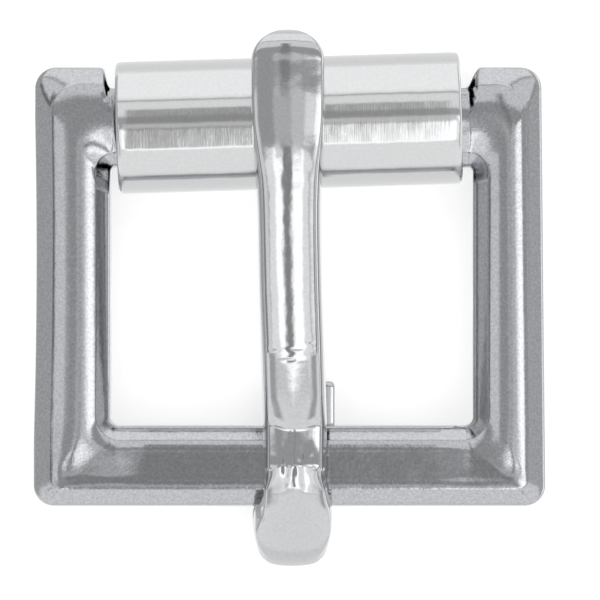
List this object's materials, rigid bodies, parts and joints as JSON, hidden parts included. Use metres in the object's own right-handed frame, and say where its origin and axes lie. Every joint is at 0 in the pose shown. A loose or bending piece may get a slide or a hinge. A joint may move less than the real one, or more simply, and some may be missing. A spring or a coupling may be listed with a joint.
{
  "type": "roller buckle",
  "caption": "Cast steel roller buckle: a near-square frame, a loose rolled-sheet roller on its front bar and a rounded tongue hinged on the strap bar.",
  "frame": {"origin": "on the surface that the buckle lies on, under the middle of its outline", "axes": "+X along the strap bar, +Y from the strap bar towards the roller, +Z the worn side"},
  "size_m": [0.0354, 0.0368, 0.0122],
  "materials": {
    "frame_steel": "tumble-polished cast stainless steel with a fine grain",
    "roller_steel": "polished sheet steel with fine brush lines round it",
    "tongue_steel": "tumble-polished cast stainless steel, smoother than the frame"
  },
  "bodies": {
    "frame": {"frame": "frame_steel"},
    "roller": {"roller": "roller_steel"},
    "tongue": {"tongue": "tongue_steel"}
  },
  "joints": [
    {"name": "roller_spin", "type": "hinge", "parent": "frame", "child": "roller", "pos_m": [-0.00003, 0.01223, 0.00455], "axis": [0.9996, 0.0298, 0], "continuous": true},
    {"name": "tongue_hinge", "type": "hinge", "parent": "frame", "child": "tongue", "pos_m": [0.00055, -0.01166, 0.00365], "axis": [1, 0, 0], "range_deg": [0, 170]}
  ]
}
